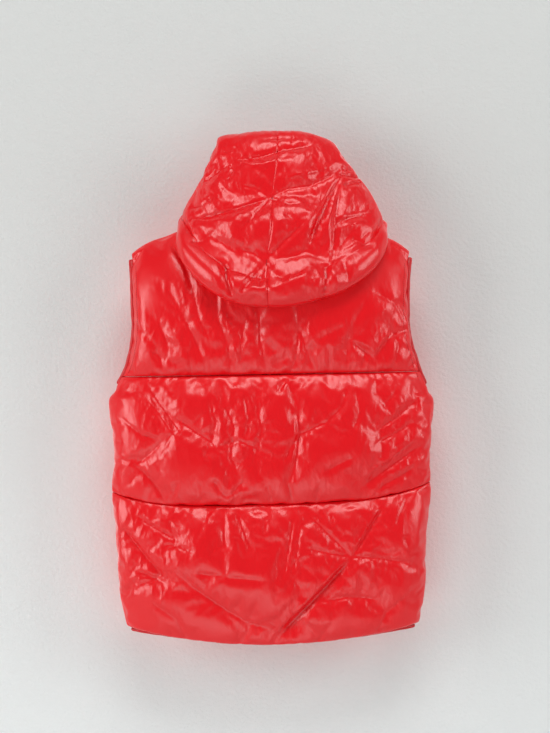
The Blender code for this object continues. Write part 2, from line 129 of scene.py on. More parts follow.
def hoodAt(name, along):
    return smoothColumn(hoodRows, hoodColumns.index(name), along)


def armHeight(x):
    tilt = np.where(x < 0, -hangerForm["tilt"], hangerForm["tilt"])
    return hangerForm["apex"] - np.abs(x) * np.tan(hangerForm["slope"] + tilt)


def shoulderHeight(x):
    x = np.asarray(x, float)
    off = x - vest["centre"]
    left = armHeight(np.asarray(vest["centre"] - vest["neckHalf"]))
    right = armHeight(np.asarray(vest["centre"] + vest["neckHalf"]))
    inner = (left + right) / 2 + (right - left) / 2 * off / vest["neckHalf"]
    past = np.maximum(np.abs(off) - 190, 0) / 46
    outer = armHeight(x) - 12 * past**2
    return np.where(np.abs(off) < vest["neckHalf"], inner, outer) + hangerForm["seamAbove"]


def topHeight(x, drop):
    return shoulderHeight(x) - drop * np.maximum(1 - ((x - vest["centre"]) / vest["neckHalf"]) ** 2, 0)


def seamHeight(level, x):
    across = (x - vest["centre"]) / 264
    if level == 1:
        return -399.5 + 5 * across
    if level == 2:
        return -612 + 8.5 * across + 26.5 * across**4
    return -839.5 + 13 * ((x + 26) / 178) ** 2


def skinDepth(x, z, side, drop, edge):
    # how far the body's inner face stands off the hanger's plane
    depth = bodyAt("back" if side < 0 else "front", z)
    roundOff = np.sqrt(np.maximum(1 - np.minimum(edge, 1) ** 2.6, 0))
    off = np.abs(x - vest["centre"]) / vest["neckHalf"]
    below = np.maximum(topHeight(x, drop) - z, 0)
    roof = np.minimum(np.sqrt(below / 45), 1)
    nape = np.minimum(np.sqrt(np.maximum(1 - off**2, 0)) * 26 / depth, 1)
    y = (depth * roundOff + bodyAt("gape", z)) * np.maximum(roof, nape)
    y = np.maximum(y, 5.6 * np.minimum(np.sqrt(below / 7.4), 1) * np.clip((z - vest["armhole"]) / 60, 0, 1))
    byNeck = np.clip((vest["neckHalf"] + 22 - np.abs(x - vest["centre"])) / 10, 0, 1)
    return np.maximum(y, 3 * byNeck) + 0.25


def tipHeight(hand):
    return float(topHeight(np.asarray(vest["centre"] + vest["tips"][hand]), vest["napeDrop"]))


def puff(t, power=0.5):
    return np.sin(np.pi * np.clip(t, 0, 1)) ** power


def easeEnds(t, power=1.4):
    return 0.5 + 0.5 * np.sign(t - 0.5) * (1 - (1 - np.abs(2 * t - 1)) ** power)


# folds and creases, in millimetres: a row of a table is (wide, deep, held, lean, ends), with what is left out
# taken from creaseRest, then the (x, z) points of its path; a depth below 0 makes a ridge

creaseRest = (0, 0, 0, 0, 0.15)
foldSpread = 0.8


def creases(table):
    names = ("wide", "deep", "held", "lean", "ends")
    return [dict(zip(names, (*row[0], *creaseRest[len(row[0]):])), path=row[1:]) for row in table]


def pathDistance(points, path):
    # how far (x, z) points are from a path, the share of its length there, and the side of it they are on
    path = np.asarray(path, float)
    legs = path[1:] - path[:-1]
    lengths = np.linalg.norm(legs, axis=1)
    run = np.concatenate([[0], np.cumsum(lengths)])
    best = np.full(len(points), 1e9)
    share = np.zeros(len(points))
    side = np.zeros(len(points))
    for i, leg in enumerate(legs):
        t = np.clip(((points - path[i]) @ leg) / max(lengths[i] ** 2, 1e-9), 0, 1)
        off = points - (path[i] + t[:, None] * leg)
        far = np.linalg.norm(off, axis=1)
        near = far < best
        best = np.where(near, far, best)
        share = np.where(near, (run[i] + t * lengths[i]) / run[-1], share)
        side = np.where(near, np.sign(off[:, 0] * leg[1] - off[:, 1] * leg[0]), side)
    return best, share, side


def foldDepth(points, folds, narrow=1.0):
    # how far each point sinks in all the folds together
    sunk = np.zeros(len(points))
    for fold in folds:
        far, share, side = pathDistance(points, fold["path"])
        wide = fold["wide"] * narrow * foldSpread
        taper = np.clip(np.minimum(share, 1 - share) * 5 + fold["ends"], 0, 1)
        wide = wide * np.where(side > 0, 1 + fold["lean"], 1 - fold["lean"] * 0.5)
        trough = 0.62 * np.exp(-far / (0.42 * wide)) + 0.38 * np.exp(-((far / (2.4 * wide)) ** 1.3))
        shoulder = 0.12 * np.exp(-(((far - 3.6 * wide) / (1.6 * wide)) ** 2))
        sunk += fold["deep"] * taper * (trough - shoulder)
    return sunk


def crinkleShare(points, folds):
    # 1 on the creases, fading to 0 some way off them
    share = np.zeros(len(points))
    for fold in folds:
        far, along, side = pathDistance(points, fold["path"])
        share += np.exp(-((far / 26) ** 2)) * min(abs(fold["deep"]) / 8, 1)
    return np.clip(share * 0.8, 0, 1)


# padded pieces: a grid laid on the inner face, thickened, blown up as cloth with its seams held, then creased

def deselectAll():
    for item in bpy.context.selected_objects:
        item.select_set(False)


def makeActive(piece):
    deselectAll()
    piece.select_set(True)
    bpy.context.view_layer.objects.active = piece


def modify(piece, kind, **settings):
    # one modifier, set up and applied
    modifier = piece.modifiers.new(kind.lower(), kind)
    for key, value in settings.items():
        setattr(modifier, key, value)
    makeActive(piece)
    bpy.ops.object.modifier_apply(modifier=modifier.name)


def dress(piece, made):
    piece.data.materials.clear()
    piece.data.materials.append(made)


def readPoints(mesh):
    co = np.empty(len(mesh.vertices) * 3)
    mesh.vertices.foreach_get("co", co)
    return co.reshape(-1, 3) / mm


def writePoints(mesh, points):
    mesh.vertices.foreach_set("co", (points * mm).ravel())
    mesh.update()


def readNormals(mesh):
    normal = np.empty(len(mesh.vertices) * 3)
    mesh.vertex_normals.foreach_get("vector", normal)
    return normal.reshape(-1, 3)


def gridShares(columns, rows):
    # the share across and up of each point of a grid, row by row
    u, v = np.meshgrid(np.linspace(0, 1, columns + 1), np.linspace(0, 1, rows + 1))
    return u.ravel(), v.ravel()


def layGrid(name, points, columns, rows):
    # a grid laid on points given row by row, and the order in which its own vertices take them
    deselectAll()
    bpy.ops.mesh.primitive_grid_add(x_subdivisions=columns, y_subdivisions=rows, size=2, location=(0, 0, 0))
    piece = bpy.context.object
    piece.name = piece.data.name = name
    spot = (readPoints(piece.data) * mm + 1) / 2
    order = np.rint(spot[:, 1] * rows).astype(int) * (columns + 1) + np.rint(spot[:, 0] * columns).astype(int)
    writePoints(piece.data, points[order])
    return piece, order


def faceOut(mesh, outward):
    # outward is one direction, or one for each face
    if (np.array([face.normal[:] for face in mesh.polygons]) * np.asarray(outward, float)).sum() < 0:
        mesh.flip_normals()


def mergePoints(threshold, outward=False):
    bpy.ops.object.mode_set(mode="EDIT")
    bpy.ops.mesh.select_all(action="SELECT")
    bpy.ops.mesh.remove_doubles(threshold=threshold)
    if outward:
        bpy.ops.mesh.normals_make_consistent(inside=False)
    bpy.ops.object.mode_set(mode="OBJECT")


def polyCurve(name, points):
    # a curve object through points in millimetres
    line = bpy.data.curves.new(name, "CURVE")
    line.dimensions = "3D"
    run = line.splines.new("POLY")
    run.points.add(len(points) - 1)
    for spot, point in zip(run.points, np.asarray(points, float) * mm):
        spot.co = (*point, 1)
    made = bpy.data.objects.new(name, line)
    bpy.context.scene.collection.objects.link(made)
    return made


def runAlong(path):
    # the length run from the path's start to each of its points
    return np.concatenate([[0], np.cumsum(np.linalg.norm(np.diff(path, axis=0), axis=1))])


def evenly(path, step):
    # the path, resampled to points a step apart
    path = np.asarray(path, float)
    run = runAlong(path)
    marks = np.linspace(0, run[-1], max(int(run[-1] / step), 2) + 1)
    return np.stack([np.interp(marks, run, path[:, axis]) for axis in range(3)], axis=1)


def gridNormals(points, columns, rows, outward):
    grid = points.reshape(rows + 1, columns + 1, 3)
    normal = np.cross(np.gradient(grid, axis=1), np.gradient(grid, axis=0))
    normal /= np.maximum(np.linalg.norm(normal, axis=2, keepdims=True), 1e-9)
    normal = normal.reshape(-1, 3)
    return normal if (normal @ np.asarray(outward, float)).sum() > 0 else -normal


def paddedPiece(look, inner, fill):
    # inner is the inner face, row by row from the bottom; fill is 0 at its seams and 1 where it is fullest
    columns, rows = look["columns"], look["rows"]
    folds = look["folds"]
    normal = gridNormals(inner, columns, rows, look["outward"])
    if "straight" in look:
        normal[:, 0] *= look["straight"]
    start = inner + normal * (vest["seamWall"] + look["crown"] * fill)[:, None]
    start[:, 2] -= look.get("lip", 0)
    held = fill < 0.02
    if "pinned" in look:
        held |= look["pinned"]
    flat = start[:, [0, 2]]
    facing = (normal[:, 1] * look["foldSide"]) > -0.1
    sunk = foldDepth(flat, folds) * np.minimum(fill * 1.6, 1) * facing * look["foldFirst"]
    start -= normal * sunk[:, None]
    for fold in folds:
        if fold["held"]:
            far, share, side = pathDistance(flat, fold["path"])
            held |= (far < fold["held"]) & facing & (share > 0.02) & (share < 0.98)
    piece, order = layGrid(look["name"], inner, columns, rows)
    faceOut(piece.data, look["outward"])
    modify(piece, "SOLIDIFY", thickness=vest["seamWall"] * mm, offset=1)
    before = readPoints(piece.data)
    count = len(inner)
    first = np.linalg.norm(before[:count] - inner[order], axis=1).mean()
    second = np.linalg.norm(before[count:] - inner[order], axis=1).mean()
    outer = np.arange(count) + (count if second > first else 0)
    before[outer] = start[order]
    writePoints(piece.data, before)
    pins = piece.vertex_groups.new(name="held")
    still = np.ones(len(before), bool)
    still[outer] = held[order]
    pins.add([int(i) for i in np.nonzero(still)[0]], 1.0, "REPLACE")
    blowUp(piece, look)
    moved = readPoints(piece.data) - before
    reach = np.linalg.norm(moved, axis=1)
    kept = np.minimum(reach, look["cap"]) / np.maximum(reach, 1e-6)
    writePoints(piece.data, before + moved * kept[:, None])
    modify(piece, "SUBSURF", levels=1)
    pressFolds(piece, look)
    bpy.ops.object.shade_smooth()
    dress(piece, shellNylon)
    return piece


def blowUp(piece, look):
    cloth = piece.modifiers.new("cloth", "CLOTH")
    settings = cloth.settings
    settings.quality = 5
    settings.mass = 0.12
    settings.tension_stiffness = 25
    settings.compression_stiffness = 12
    settings.shear_stiffness = 6
    settings.bending_stiffness = look["bending"]
    settings.tension_damping = settings.compression_damping = settings.shear_damping = 8
    settings.air_damping = 2
    settings.use_pressure = True
    settings.uniform_pressure_force = look["pressure"]
    settings.shrink_min = -look["slack"]
    settings.vertex_group_mass = "held"
    settings.pin_stiffness = 10
    settings.effector_weights.gravity = 0
    cloth.collision_settings.use_collision = False
    cloth.collision_settings.use_self_collision = False
    cloth.point_cache.frame_start = 1
    cloth.point_cache.frame_end = look["frames"]
    scene = bpy.context.scene
    for step in range(1, look["frames"] + 1):
        scene.frame_set(step)
    makeActive(piece)
    bpy.ops.object.modifier_apply(modifier="cloth")
    scene.frame_set(1)


def pressFolds(piece, look):
    # the crisp bottom of each crease, pressed in once the cloth has settled, and how crinkled it is there
    mesh = piece.data
    points = readPoints(mesh)
    normal = readNormals(mesh)
    facing = np.clip(normal[:, 1] * look["foldSide"] * 2 + 0.2, 0, 1)
    flat = points[:, [0, 2]]
    points -= normal * (foldDepth(flat, look["folds"], 0.5) * facing * look["foldLast"])[:, None]
    writePoints(mesh, points)
    layer = mesh.attributes.new("crinkle", "FLOAT", "POINT")
    layer.data.foreach_set("value", crinkleShare(flat, look["folds"]) * facing)


# materials

def addNode(made, kind, values=None, feeds=None, **settings):
    node = made.node_tree.nodes.new("ShaderNode" + kind)
    for key, value in settings.items():
        setattr(node, key, value)
    for key, value in (values or {}).items():
        node.inputs[key].default_value = value
    for key, source in (feeds or {}).items():
        made.node_tree.links.new(source, node.inputs[key])
    return node


def plainMaterial(name, colour, roughness, bumps, metallic=0.0):
    # a bump is ("noise", scale per metre, height in millimetres, detail), or "cells" for facets with, in the
    # detail's place, the share of it that is left away from the creases
    made = bpy.data.materials.new(name)
    made.use_nodes = True
    shader = made.node_tree.nodes["Principled BSDF"]
    shader.inputs["Base Color"].default_value = (*colour, 1)
    shader.inputs["Roughness"].default_value = roughness
    shader.inputs["Metallic"].default_value = metallic
    place = addNode(made, "TexCoord").outputs["Object"]
    normal = {}
    for kind, scale, height, extra in bumps:
        if kind == "cells":
            sway = addNode(made, "TexNoise", {"Scale": scale * 0.5, "Detail": 1}, {"Vector": place})
            feeds = {0: sway.outputs["Color"], 2: place}
            swayed = addNode(made, "VectorMath", {1: (1.2 / scale,) * 3}, feeds, operation="MULTIPLY_ADD")
            turned = {"Rotation": (0, 0.35, 0), "Scale": (1.25, 1, 0.5)}
            drawn = addNode(made, "Mapping", turned, {"Vector": swayed.outputs[0]})
            cells = addNode(made, "TexVoronoi", {"Scale": scale}, {"Vector": drawn.outputs[0]})
            crinkle = addNode(made, "Attribute", attribute_name="crinkle").outputs["Fac"]
            share = addNode(made, "MapRange", {"To Min": extra}, {"Value": crinkle})
            feeds = {0: cells.outputs["Distance"], 1: share.outputs[0]}
            value = addNode(made, "Math", None, feeds, operation="MULTIPLY").outputs[0]
        else:
            noise = addNode(made, "TexNoise", {"Scale": scale, "Detail": extra}, {"Vector": place})
            value = noise.outputs["Fac"]
        bump = addNode(made, "Bump", {"Strength": 1, "Distance": height * mm}, {"Height": value, **normal})
        normal = {"Normal": bump.outputs[0]}
    made.node_tree.links.new(normal["Normal"], shader.inputs["Normal"])
    return made


shellNylon = plainMaterial("shellNylon", (0.86, 0.005, 0.01), 0.31, (
    ("cells", 42, 2.0, 0.06), ("cells", 110, 0.7, 0.05), ("noise", 9, 3.0, 1), ("noise", 2600, 0.03, 1),
))
shellShader = shellNylon.node_tree.nodes["Principled BSDF"]
shellShader.inputs["Specular IOR Level"].default_value = 0.5
shellShader.inputs["Coat Weight"].default_value = 0.25
shellShader.inputs["Coat Roughness"].default_value = 0.2
bindingBumps = (("noise", 160, 1.0, 2), ("noise", 2600, 0.05, 1))
bindingNylon = plainMaterial("bindingNylon", (0.62, 0.005, 0.009), 0.4, bindingBumps)
threadRed = plainMaterial("threadRed", (0.36, 0.006, 0.008), 0.55, (("noise", 3200, 0.15, 1),))
tapeCloth = plainMaterial("tapeCloth", (0.02, 0.018, 0.018), 0.75, (("noise", 1800, 0.12, 1),))
toothPlastic = plainMaterial("toothPlastic", (0.016, 0.015, 0.016), 0.32, (("noise", 900, 0.02, 1),))
pullMetal = plainMaterial("pullMetal", (0.09, 0.09, 0.095), 0.3, (("noise", 1200, 0.02, 2),), 1.0)
wireCoat = plainMaterial("wireCoat", (0.03, 0.016, 0.016), 0.42, (("noise", 1500, 0.05, 2),))


# the body's panels

def bodyPanel(look):
    side, level, span = look["side"], look["level"], look["span"]
    drop = vest["napeDrop"] if side < 0 else vest["frontDrop"]
    u, v = gridShares(look["columns"], look["rows"])
    up = 1 - (1 - v) ** 1.25 if level == 1 else v
    edges = {}
    for hand, tip in vest["tips"].items():
        x = bodyAt(hand, vest["armhole"]) + 0 * u
        low = seamHeight(level, x)
        high = topHeight(vest["centre"] + tip + 0 * u, drop) if level == 1 else seamHeight(level - 1, x)
        z = low + (high - low) * up
        bound = np.clip((z - vest["armhole"] + 22) / 10, 0, 1) * look["edgeInset"]
        edges[hand] = bodyAt(hand, z) + (bound + look["sideInset"]) * vest["inward"][hand]
    left, right = edges["left"], edges["right"]
    middle, half = (left + right) / 2, (right - left) / 2
    if span == "left":
        right = vest["centre"] - vest["zipHalf"] + 0 * u
    if span == "right":
        left = vest["centre"] + vest["zipHalf"] + 0 * u
    across = easeEnds(u, look["ease"])
    x = left + (right - left) * across
    low = seamHeight(level, x) + (vest["gap"] / 2 if level < 3 else look["hemRise"])
    high = topHeight(x, drop) if level == 1 else seamHeight(level - 1, x) - vest["gap"] / 2
    z = low + (high - low) * up
    y = side * skinDepth(x, z, side, drop, np.abs(x - middle) / half)
    fill = puff(across, look["sidePuff"]) * puff(up, look["seamPuff"])
    droop = (1 - np.minimum(v / 0.25, 1)) ** 2 * np.minimum(v / 0.03, 1)
    look["lip"] = look["overhang"] * droop * puff(across, 0.3)
    look["outward"] = (0, side, 0)
    look["foldSide"] = side
    return paddedPiece(look, np.stack([x, y, z], axis=1), fill)


backPanel = {
    "side": -1, "span": "whole", "columns": 120, "rows": 46, "crown": 21, "sidePuff": 0.35, "seamPuff": 0.6,
    "ease": 1.25, "edgeInset": 5.0, "sideInset": 0.8, "hemRise": 0, "slack": 0.03, "pressure": 5,
    "frames": 20, "bending": 0.15, "cap": 8, "foldFirst": 0.5, "foldLast": 0.34,
}
backFolds = {}
backFolds["upper"] = [
    ((10, -6), (-90, -296), (-74, -345), (-67, -386)), ((7, 6, 3), (-104, -300), (-86, -345), (-78, -388)),
    ((6, -4), (38, -340), (34, -368), (36, -394)), ((6, -4), (126, -342), (156, -362), (180, -326)),
    ((7, 7, 3), (-55, -305), (-62, -345), (-64, -388)), ((7, 7, 3), (-35, -299), (-32, -348), (-21, -390)),
    ((6, 7, 3), (31.5, -318), (25.6, -377), (17, -397)), ((6, 6, 3), (31.5, -318), (40, -352), (57, -396)),
    ((5, 4), (52, -352), (60, -396)), ((6, 6, 3), (112, -336), (110, -382)),
    ((6, 8, 3), (118, -348), (153, -374)), ((7, 7, 3), (153, -374), (185, -334), (214, -325)),
    ((7, 5), (63, -345), (104, -322)), ((8, 6, 3), (-197, -316), (-180, -357)),
    ((8, 7, 3), (-160, -299), (-125, -371)), ((8, 6), (-145, -244), (-130, -313), (-113, -345)),
    ((7, 6), (-226, -330), (-204, -352), (-190, -390)), ((6, 5), (-215, -362), (-160, -386)),
    ((7, 6), (170, -300), (196, -352), (188, -388)), ((8, 5), (150, -262), (190, -285), (206, -318)),
    ((8, 6), (-176, -186), (-150, -232), (-142, -268)), ((5, 4), (140, -352), (136, -392)),
    ((6, 4), (-6, -350), (-2, -392)), ((6, 4), (78, -350), (84, -394)), ((5, 4), (-150, -360), (-142, -394)),
]
backFolds["middle"] = [
    ((7, 9, 3), (-214, -424), (-186, -462), (-163, -495)),
    ((5, -5), (-222, -432), (-196, -466), (-172, -500)), ((5, -4), (138, -566), (176, -540), (222, -506)),
    ((5, -4), (22, -470), (24, -505), (20, -545)), ((6, 9, 3), (-235, -548), (-213, -530), (-191, -508)),
    ((6, 8, 3), (-235, -550), (-208, -576), (-188, -608)), ((8, 6), (-262, -470), (-225, -500), (-200, -505)),
    ((7, 8, 3), (-169, -472), (-132, -497), (-100, -518)), ((7, 6), (-116, -436), (-104, -478), (-112, -520)),
    ((7, 7, 3), (-92, -444), (-74, -486), (-80, -536), (-66, -560)),
    ((6, 6), (-58, -430), (-48, -472), (-56, -510)), ((6, 6, 2), (-36, -446), (-30, -492), (-40, -540)),
    ((6, 5), (-100, -518), (-66, -508), (-38, -520)), ((6, 6), (-85, -603), (-110, -570)),
    ((5, 5), (-85, -603), (-82, -566)), ((6, 6), (-85, -603), (-58, -572)),
    ((6, 5), (-128, -606), (-136, -576)), ((5, 5), (9, -408), (-4, -432)), ((5, 5), (9, -408), (22, -436)),
    ((6, 8, 3), (30, -452), (32, -499), (24.4, -548)), ((6, 6), (32, -499), (17, -521), (8, -548)),
    ((6, 6, 3), (32, -499), (58, -486), (81, -476)), ((7, 5), (81, -476), (104, -452), (110, -424)),
    ((6, 9, 3), (134, -584), (176, -555), (228, -519)), ((6, 7, 3), (160, -588), (192, -571), (222, -553)),
    ((6, 7, 3), (158, -512), (190, -497), (220, -478)), ((6, 8, 3), (158, -493), (192, -470), (228, -441)),
    ((6, 6), (170, -455), (191, -428)), ((8, 6), (73, -559), (94, -547), (118, -535)),
    ((5, 5), (60, -606), (66, -574)), ((5, 5), (20, -606), (14, -576)), ((5, 5), (-12, -606), (-20, -580)),
    ((7, 5), (124, -424), (132, -462), (118, -494)), ((5, 5), (-176, -606), (-166, -574)),
]
backFolds["lower"] = [
    ((8, 14, 4, 0.5), (-4, -834), (26, -800), (60, -765), (117, -701)),
    ((5, -6, 0, 0, 0.3), (-12, -828), (22, -790), (54, -758), (104, -706)),
    ((8, 11, 4), (119, -698), (146, -655), (170, -616)), ((5, -4), (122, -686), (142, -650), (162, -620)),
    ((7, 8, 3), (119, -698), (158, -700), (197, -707)), ((7, 8, 3), (119, -698), (82, -663), (45, -627)),
    ((6, 7, 3), (119, -698), (80, -691), (43, -684)), ((8, 8, 3), (70, -771), (111.5, -764), (161, -767.5)),
    ((6, 6, 3), (-148, -743), (-100, -776), (-55, -805), (-8, -818)),
    ((8, 10, 3, 0.4), (-258, -652), (-222, -696), (-188, -733)), ((5, 6), (-167, -680), (-190, -680)),
    ((5, 6), (-167, -680), (-140, -690)), ((5, 6), (-167, -680), (-182, -636)),
    ((6, 8, 3), (-235, -633), (-202, -652), (-169, -671)), ((6, 8, 3), (20.6, -640), (14, -682), (7.4, -724)),
    ((6, 7, 3), (36, -638), (28, -684), (20.6, -728)), ((6, 7, 2), (-91, -633), (-89, -690)),
    ((6, 7, 2), (-70, -627), (-58, -658), (-46, -690)), ((10, 6), (-150, -722), (-86, -730), (-18, -736)),
    ((6, 7, 2), (-236, -724), (-212, -730), (-186, -742)), ((6, 6), (-228, -744), (-206, -738), (-190, -722)),
    ((6, 5), (-120, -630), (-132, -668)), ((6, 5), (-20, -630), (-26, -664)),
    ((6, 5), (82, -628), (96, -660)), ((7, 6), (206, -610), (190, -648)),
    ((9, 6), (212, -760), (176, -790), (160, -822)), ((9, 6), (-212, -770), (-170, -800), (-158, -826)),
    ((6, 5), (204, -662), (216, -700)), ((6, 5), (-60, -836), (-46, -812)), ((6, 5), (66, -836), (84, -806)),
]
shellPieces = {"back": [], "front": [], "hoodLeft": [], "hoodRight": []}
for name, level in (("upper", 1), ("middle", 2), ("lower", 3)):
    look = dict(backPanel, name="backPanel" + name.capitalize(), level=level, folds=creases(backFolds[name]))
    look["overhang"] = (6, 11, 20)[level - 1]
    if level == 3:
        look["hemRise"] = 2
    panel = bodyPanel(look)
    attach(panel, "vest")
    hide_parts("back_" + name)
    shellPieces["back"].append(panel)
    print("back panel", name, "made")

frontPanel = dict(backPanel, side=1, columns=58, rows=44, crown=18, seamPuff=0.55, frames=18)
frontFolds = {}
frontFolds["leftUpper"] = [
    ((8, 6, 3), (-192, -300), (-178, -346), (-186, -392)),
    ((8, 7, 3), (-150, -270), (-128, -318), (-132, -372)), ((7, 5), (-96, -252), (-84, -300), (-98, -348)),
    ((7, 6, 3), (-60, -300), (-52, -344), (-58, -392)), ((6, 6, 3), (-26, -250), (-44, -272), (-70, -276)),
    ((6, 5), (-24, -330), (-40, -345)), ((6, 5), (-100, -352), (-94, -394)),
    ((7, 6), (-222, -330), (-204, -372)),
]
frontFolds["rightUpper"] = [
    ((8, 6, 3), (164, -296), (148, -344), (152, -392)), ((8, 7, 3), (120, -262), (98, -312), (106, -366)),
    ((7, 5), (58, -256), (48, -302), (60, -350)), ((7, 6, 3), (30, -304), (22, -350), (28, -392)),
    ((6, 6, 3), (-2, -262), (20, -280), (42, -290)), ((6, 5), (-4, -352), (14, -366)),
    ((6, 5), (76, -350), (70, -394)), ((7, 6), (194, -326), (178, -370)),
]
frontFolds["leftMiddle"] = [
    ((7, 8, 3), (-230, -440), (-196, -478), (-170, -500)),
    ((7, 7, 3), (-238, -556), (-206, -580), (-186, -606)), ((7, 6), (-118, -420), (-106, -468), (-116, -520)),
    ((6, 7, 3), (-26, -440), (-54, -462), (-84, -458)), ((6, 7, 3), (-26, -520), (-56, -512), (-92, -530)),
    ((6, 6), (-26, -574), (-50, -588)), ((6, 6), (-84, -604), (-92, -566)),
    ((6, 5), (-140, -604), (-132, -570)), ((6, 5), (-150, -424), (-160, -456)),
]
frontFolds["rightMiddle"] = [
    ((7, 8, 3), (206, -446), (170, -474), (150, -502)), ((7, 7, 3), (212, -548), (178, -574), (158, -600)),
    ((7, 6), (86, -424), (76, -470), (90, -518)), ((6, 7, 3), (-2, -452), (26, -470), (54, -462)),
    ((6, 7, 3), (-2, -534), (30, -528), (66, -544)), ((6, 6), (-2, -578), (24, -592)),
    ((6, 6), (60, -604), (66, -566)), ((6, 5), (118, -602), (110, -568)), ((6, 5), (126, -420), (134, -452)),
]
frontFolds["leftLower"] = [
    ((8, 9, 3), (-250, -660), (-214, -696), (-182, -742)),
    ((7, 7, 3), (-150, -620), (-142, -664), (-156, -704)), ((7, 8, 3), (-26, -668), (-60, -690), (-98, -684)),
    ((7, 7, 3), (-26, -744), (-58, -738), (-90, -756)), ((6, 6), (-60, -624), (-66, -660)),
    ((8, 8, 3), (-128, -820), (-110, -780), (-118, -740)), ((8, 6), (-210, -786), (-176, -806)),
    ((6, 6), (-26, -800), (-46, -812)),
]
frontFolds["rightLower"] = [
    ((8, 9, 3), (222, -650), (186, -690), (160, -736)), ((7, 7, 3), (124, -620), (116, -664), (132, -704)),
    ((7, 8, 3), (-2, -680), (30, -700), (70, -690)), ((7, 7, 3), (-2, -752), (28, -746), (60, -764)),
    ((6, 6), (38, -624), (46, -660)), ((8, 8, 3), (102, -818), (86, -780), (96, -744)),
    ((8, 6), (186, -780), (152, -804)), ((6, 6), (-2, -806), (20, -818)),
]
for hand in ("left", "right"):
    for name, level in (("Upper", 1), ("Middle", 2), ("Lower", 3)):
        look = dict(frontPanel, name="frontPanel" + hand.capitalize() + name, span=hand, level=level)
        look["folds"] = creases(frontFolds[hand + name])
        look["overhang"] = (5, 8, 15)[level - 1]
        look["hemRise"] = 2 if level == 3 else 0
        panel = bodyPanel(look)
        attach(panel, "vest")
        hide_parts("front_" + hand + "_" + name.lower())
        shellPieces["front"].append(panel)
    print("front panels", hand, "made")


# the hood: two halves from the centre seam round to the front edge, sagging over the yoke

def wallOfYoke(x, z, side):
    # thickness of the upper body panel under the hood
    drop = vest["napeDrop"] if side < 0 else vest["frontDrop"]
    low, high = seamHeight(1, x), topHeight(x, drop)
    left, right = bodyAt("left", z) + 7.6, bodyAt("right", z) - 7.6
    across = (x - left) / (right - left)
    if side > 0:
        toZip = (x - left) / (vest["centre"] - vest["zipHalf"] - left)
        fromZip = (right - x) / (right - vest["centre"] - vest["zipHalf"])
        across = np.where(x < vest["centre"], toZip, fromZip)
    return vest["seamWall"] + (29 if side < 0 else 25) * puff(across, 0.4) * puff((z - low) / (high - low))


def clearBody(points, wall):
    # the points, moved up or out until a wall this thick clears the body under it
    moved = points.copy()
    for side in (-1, 1):
        mine = (points[:, 1] < 0) if side < 0 else (points[:, 1] >= 0)
        if not mine.any():
            continue
        x, y, z = points[mine].T
        drop = vest["napeDrop"] if side < 0 else vest["frontDrop"]
        top = topHeight(x, drop)
        needY, needZ = np.zeros(len(x)), top.copy()
        for step in range(40):
            height = top - 4 * step
            live = height >= z - 40
            reach = wallOfYoke(x, height, side) + 0.3 + wall[mine] + 6.5
            skin = skinDepth(x, height, side, drop, np.abs(x - vest["centre"]) / 240)
            below, beyond = height - z, np.abs(y) - skin
            outward = skin + np.sqrt(np.maximum(reach**2 - below**2, 0))
            needY = np.where(live & (np.abs(below) < reach), np.maximum(needY, outward), needY)
            arch = np.sqrt(np.maximum(reach**2 - beyond**2, 0))
            upward = height + np.where(np.abs(beyond) < reach, arch, reach)
            over = live & ((np.abs(beyond) < reach) | (beyond < 0))
            needZ = np.where(over, np.maximum(needZ, upward), needZ)
        inside = ~((np.abs(y) >= needY) | (z >= needZ))
        goUp = inside & (needZ - z < needY - np.abs(y))
        goOut = inside & ~goUp
        z = np.where(goUp, needZ, z)
        y = np.where(goOut, side * needY, y)
        moved[mine] = np.stack([x, y, z], axis=1)
    return moved


def hoodInner(hand, share, along):
    sign = -1 if hand == "left" else 1
    angle = np.radians(hoodAt("reach", along)) * share
    seamX = hoodAt("seamX", along)
    reachX = np.abs(hoodAt(hand, along) - seamX)
    x = seamX + sign * (-2.0 + (reachX + 2.0) * np.sin(angle))
    turn = 1 - np.cos(angle)
    places = []
    for axis in ("y", "z"):
        sideName = "ySide" if axis == "y" else "z" + hand.capitalize()
        back, middle, front = (hoodAt(name, along) for name in (axis + "Back", sideName, axis + "Front"))
        ahead = middle + (front - middle) * (turn - 1)
        places.append(np.where(turn < 1, back + (middle - back) * turn, ahead))
    points = np.stack([x, places[0], places[1]], axis=1)
    cleared = clearBody(points, vest["seamWall"] + hoodAt("loft", along))
    return np.where((along > 0.6)[:, None], points, cleared)


